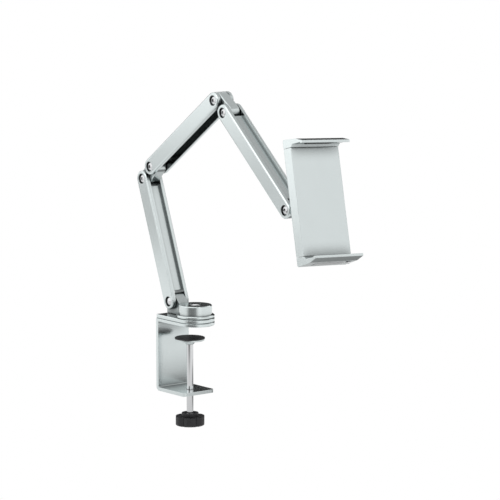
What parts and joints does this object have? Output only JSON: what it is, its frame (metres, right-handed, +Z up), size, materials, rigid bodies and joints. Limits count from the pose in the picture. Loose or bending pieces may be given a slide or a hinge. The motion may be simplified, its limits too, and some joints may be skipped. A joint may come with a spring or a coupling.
{
  "type": "tablet holder",
  "caption": "Desk-clamp tablet holder: folding three-arm stand of open channel arms joined by short links, with a tilting, turning holder and spring-loaded jaws.",
  "frame": {"origin": "on the desk-contact face of the clamp's top jaw, under the base swivel's axis", "axes": "+Z up along the base swivel's axis; +X from the clamp's back towards the desk, in the plane of the arms; +Y along the pivots, away from the screw heads"},
  "size_m": [0.3623, 0.0738, 0.3967],
  "materials": {
    "silver_metal": "satin",
    "steel": "polished",
    "rubber": "matte",
    "knob_plastic": "satin",
    "washer_plastic": "matte",
    "guide_plastic": "matte",
    "bronze": "satin"
  },
  "bodies": {
    "clamp": {"clamp_bracket": "silver_metal", "adapter_plate": "silver_metal", "top_jaw_pad": "rubber", "plate_screws": "steel", "screw_bush": "steel", "swivel_bolt": "steel", "bolt_cap": "steel", "disc_springs": "steel", "thrust_washer": "washer_plastic"},
    "pressure_pad": {"pressure_pad": "silver_metal", "pad_rubber": "rubber"},
    "clamp_screw": {"clamp_screw": "steel", "knob": "knob_plastic"},
    "turntable": {"turntable": "silver_metal", "lug_bushing": "bronze"},
    "lower_arm": {"lower_arm": "silver_metal", "lower_arm_screws": "steel", "lower_arm_nuts": "steel", "lower_arm_washers": "washer_plastic"},
    "lower_link": {"lower_link": "silver_metal", "lower_link_bushings": "bronze"},
    "middle_arm": {"middle_arm": "silver_metal", "middle_arm_screws": "steel", "middle_arm_nuts": "steel", "middle_arm_washers": "washer_plastic"},
    "upper_link": {"upper_link": "silver_metal", "upper_link_bushings": "bronze"},
    "upper_arm": {"upper_arm": "silver_metal", "upper_arm_screws": "steel", "upper_arm_nuts": "steel", "upper_arm_washers": "washer_plastic"},
    "wrist": {"wrist_knuckle": "silver_metal", "wrist_bushing": "bronze", "swivel_washer": "washer_plastic", "swivel_screw": "steel", "swivel_spring": "steel"},
    "holder": {"holder_shell": "silver_metal", "holder_back": "silver_metal", "back_screws": "steel", "slide_guides": "guide_plastic"},
    "top_jaw": {"top_jaw": "silver_metal", "top_jaw_strip": "rubber", "top_slide": "steel", "top_jaw_screws": "steel", "top_springs": "steel"},
    "bottom_jaw": {"bottom_jaw": "silver_metal", "bottom_jaw_strip": "rubber", "bottom_slide": "steel", "bottom_jaw_screws": "steel", "bottom_springs": "steel"}
  },
  "joints": [
    {"name": "pad_slide", "type": "slide", "parent": "clamp", "child": "pressure_pad", "axis": [0, 0, 1], "range_m": [-0.0516, 0.014]},
    {"name": "screw_spin", "type": "hinge", "parent": "pressure_pad", "child": "clamp_screw", "pos_m": [-0.011, 0, -0.06], "axis": [0, 0, 1], "range_deg": [-14861.8, 4033]},
    {"name": "base_swivel", "type": "hinge", "parent": "clamp", "child": "turntable", "pos_m": [0, 0, 0.01], "axis": [0, 0, 1], "continuous": true},
    {"name": "shoulder", "type": "hinge", "parent": "turntable", "child": "lower_arm", "pos_m": [-0.037, 0, 0.0247], "axis": [0, -1, 0], "range_deg": [-70, 75]},
    {"name": "lower_elbow", "type": "hinge", "parent": "lower_arm", "child": "lower_link", "pos_m": [-0.08929, 0, 0.16529], "axis": [0, 1, 0], "range_deg": [-165, 35]},
    {"name": "lower_elbow_upper_pivot", "type": "hinge", "parent": "lower_link", "child": "middle_arm", "pos_m": [-0.07384, 0, 0.18096], "axis": [0, -1, 0], "range_deg": [-55, 110]},
    {"name": "upper_elbow", "type": "hinge", "parent": "middle_arm", "child": "upper_link", "pos_m": [0.04903, 0, 0.26699], "axis": [0, 1, 0], "range_deg": [-150, 45]},
    {"name": "upper_elbow_outer_pivot", "type": "hinge", "parent": "upper_link", "child": "upper_arm", "pos_m": [0.06697, 0, 0.25425], "axis": [0, -1, 0], "range_deg": [-55, 105]},
    {"name": "wrist_tilt", "type": "hinge", "parent": "upper_arm", "child": "wrist", "pos_m": [0.17844, 0, 0.15388], "axis": [0, 1, 0], "range_deg": [-40, 90]},
    {"name": "holder_swivel", "type": "hinge", "parent": "wrist", "child": "holder", "pos_m": [0.2279, 0, 0.16834], "axis": [0.969, 0, 0.247], "continuous": true},
    {"name": "top_jaw_slide", "type": "slide", "parent": "holder", "child": "top_jaw", "axis": [-0.2467, 0.0488, 0.9679], "range_m": [0, 0.035], "stiffness_N_per_m": 150, "springref_m": -0.03, "deforming": ["top_springs"]},
    {"name": "bottom_jaw_slide", "type": "slide", "parent": "holder", "child": "bottom_jaw", "axis": [0.2467, -0.0488, -0.9679], "range_m": [0, 0.035], "stiffness_N_per_m": 150, "springref_m": -0.03, "deforming": ["bottom_springs"]}
  ],
  "couplings": [
    {"joint": "screw_spin", "follows": "pad_slide", "rad_per_m": 5026.5}
  ]
}
